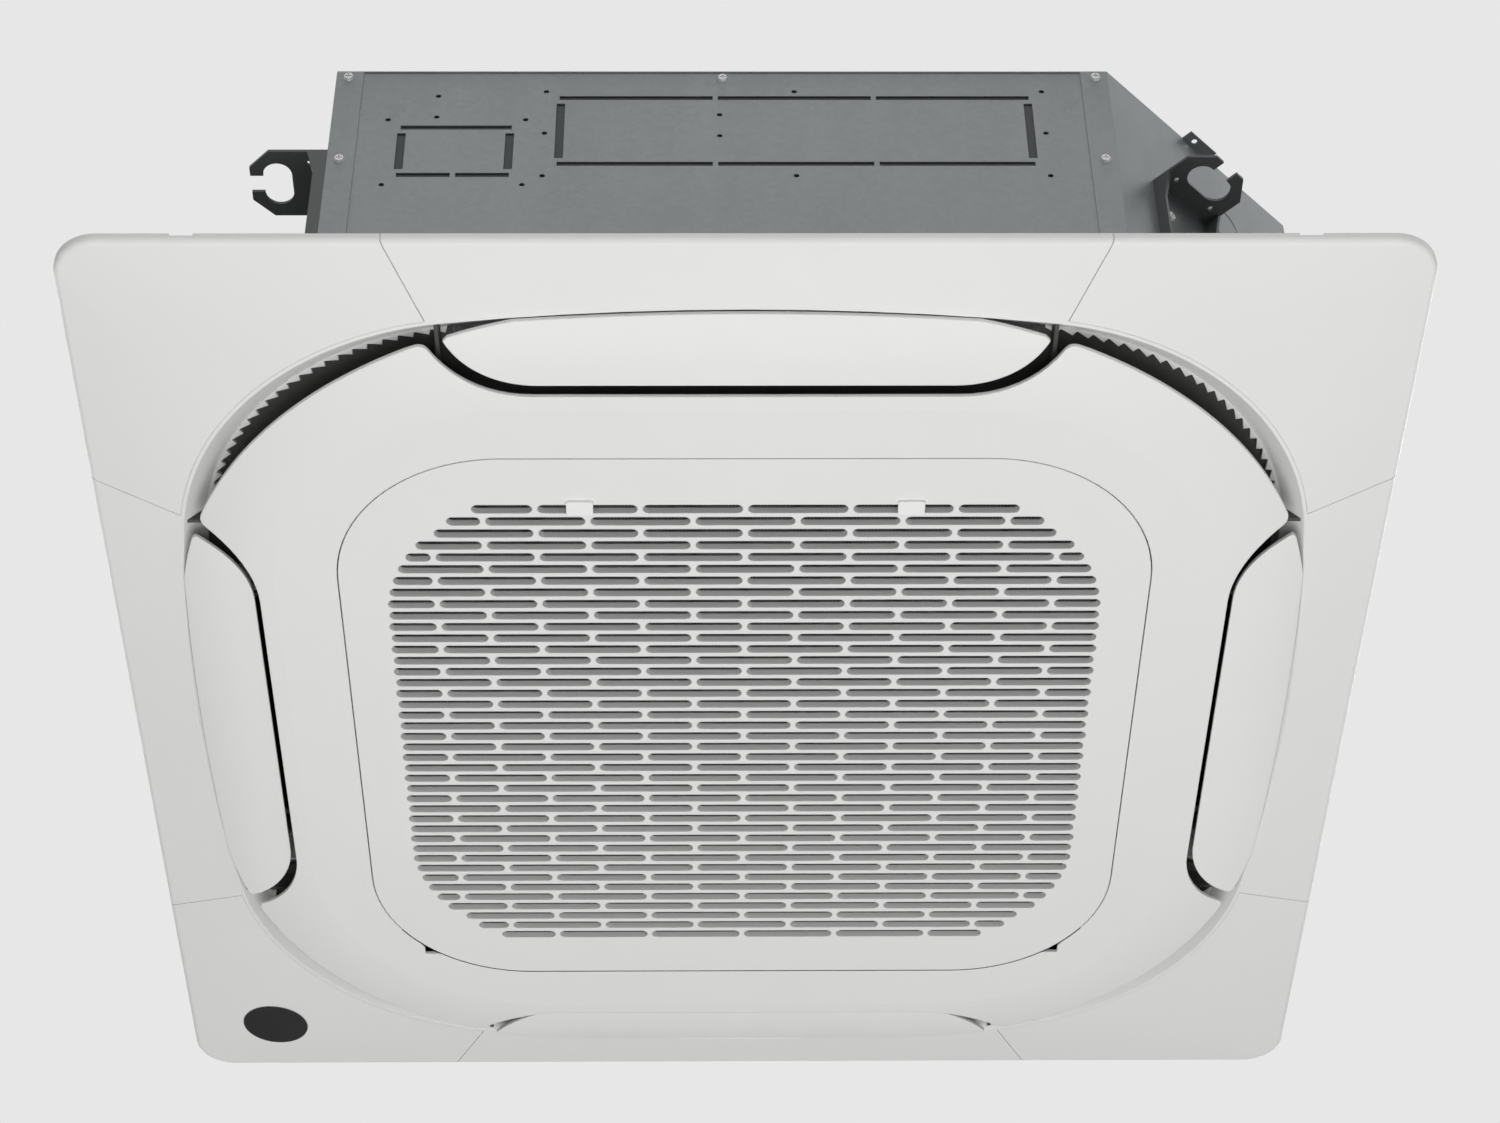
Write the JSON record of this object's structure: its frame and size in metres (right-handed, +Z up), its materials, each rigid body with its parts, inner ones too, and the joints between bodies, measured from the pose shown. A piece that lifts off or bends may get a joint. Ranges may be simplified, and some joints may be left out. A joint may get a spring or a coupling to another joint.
{
  "type": "ceiling cassette air conditioner",
  "caption": "Square steel casing hung above a ceiling on hooked brackets, with a white panel below: swinging louvres on all sides and corner outlets round a hinged intake grille.",
  "frame": {"origin": "midway between the four suspension bolts, on the underside of the bracket hooks", "axes": "+Z up, along the suspension bolts; -Y towards the side with the two knock-outs and the grille's latches; the piping corner is at -X, -Y"},
  "size_m": [0.95, 0.95, 0.293],
  "materials": {
    "panel_white": "satin",
    "frame_black": "matte",
    "latch_white": "satin",
    "galvanised_sheet": "matte",
    "bracket_black": "satin",
    "screw_steel": "satin",
    "foam_grey": "matte",
    "foam_white": "matte",
    "seal_foam": "matte",
    "bell_plastic": "matte",
    "fan_plastic": "matte",
    "motor_paint": "satin",
    "rubber_black": "matte",
    "fin_aluminium": "satin",
    "copper": "satin",
    "nut_brass": "satin",
    "pump_plastic": "satin",
    "hose_vinyl": "satin",
    "board_green": "satin",
    "lens_black": "gloss",
    "filter_mesh": "matte"
  },
  "bodies": {
    "casing": {"bell_mouth": "bell_plastic", "cable_grommet": "rubber_black", "casing_screws": "screw_steel", "centre_plate": "panel_white", "coil_end_plates": "galvanised_sheet", "coil_fins": "fin_aluminium", "coil_tubes": "copper", "control_board": "board_green", "corner_cover_front_left": "panel_white", "corner_cover_front_right": "panel_white", "corner_cover_rear_left": "panel_white", "corner_cover_rear_right": "panel_white", "corner_panel_front_right": "galvanised_sheet", "corner_panel_rear_left": "galvanised_sheet", "corner_panel_rear_right": "galvanised_sheet", "drain_hose": "hose_vinyl", "drain_outlet": "pump_plastic", "drain_pan": "foam_white", "drain_pump": "pump_plastic", "electrical_box": "galvanised_sheet", "electrical_box_cover": "galvanised_sheet", "fan_motor": "motor_paint", "flare_nuts": "nut_brass", "float_switch": "pump_plastic", "foam_liner": "foam_grey", "gas_pipe": "copper", "hanger_bracket_front_left": "bracket_black", "hanger_bracket_front_right": "bracket_black", "hanger_bracket_rear_left": "bracket_black", "hanger_bracket_rear_right": "bracket_black", "inner_frame": "frame_black", "liquid_pipe": "copper", "louvre_motors": "pump_plastic", "motor_mounts": "rubber_black", "panel_frame": "panel_white", "panel_screws": "screw_steel", "panel_seal": "seal_foam", "piping_corner_panel": "galvanised_sheet", "receiver_board": "board_green", "receiver_lens": "lens_black", "side_panel_front": "galvanised_sheet", "side_panel_left": "galvanised_sheet", "side_panel_rear": "galvanised_sheet", "side_panel_right": "galvanised_sheet", "terminal_block": "pump_plastic", "top_plate": "galvanised_sheet"},
    "fan": {"fan_hub": "fan_plastic", "fan_shroud": "fan_plastic", "fan_shaft": "screw_steel", "fan_nut": "screw_steel"},
    "pump_rotor": {"pump_impeller": "pump_plastic"},
    "level_float": {"switch_float": "pump_plastic"},
    "flap_front": {"louvre_front": "panel_white"},
    "flap_right": {"louvre_right": "panel_white"},
    "flap_rear": {"louvre_rear": "panel_white"},
    "flap_left": {"louvre_left": "panel_white"},
    "grille_door": {"intake_grille": "panel_white", "air_filter": "filter_mesh"},
    "latch_left": {"grille_latch_left": "latch_white"},
    "latch_right": {"grille_latch_right": "latch_white"}
  },
  "joints": [
    {"name": "fan_spin", "type": "hinge", "parent": "casing", "child": "fan", "pos_m": [0, 0, 0], "axis": [0, 0, 1], "continuous": true},
    {"name": "pump_spin", "type": "hinge", "parent": "casing", "child": "pump_rotor", "pos_m": [-0.258, -0.238, 0], "axis": [0, 0, 1], "continuous": true},
    {"name": "float_lift", "type": "slide", "parent": "casing", "child": "level_float", "axis": [0, 0, 1], "range_m": [0, 0.025]},
    {"name": "louvre_front_swing", "type": "hinge", "parent": "casing", "child": "flap_front", "pos_m": [0, -0.378, -0.169], "axis": [1, 0, 0], "range_deg": [0, 35]},
    {"name": "louvre_right_swing", "type": "hinge", "parent": "casing", "child": "flap_right", "pos_m": [0.378, 0, -0.169], "axis": [0, 1, 0], "range_deg": [0, 35]},
    {"name": "louvre_rear_swing", "type": "hinge", "parent": "casing", "child": "flap_rear", "pos_m": [0, 0.378, -0.169], "axis": [-1, 0, 0], "range_deg": [0, 35]},
    {"name": "louvre_left_swing", "type": "hinge", "parent": "casing", "child": "flap_left", "pos_m": [-0.378, 0, -0.169], "axis": [0, -1, 0], "range_deg": [0, 35]},
    {"name": "grille_hinge", "type": "hinge", "parent": "casing", "child": "grille_door", "pos_m": [0, 0.2691, -0.1895], "axis": [1, 0, 0], "range_deg": [0, 85]},
    {"name": "latch_left_slide", "type": "slide", "parent": "grille_door", "child": "latch_left", "axis": [0, -1, 0], "range_m": [0, 0.005]},
    {"name": "latch_right_slide", "type": "slide", "parent": "grille_door", "child": "latch_right", "axis": [0, -1, 0], "range_m": [0, 0.005]}
  ]
}
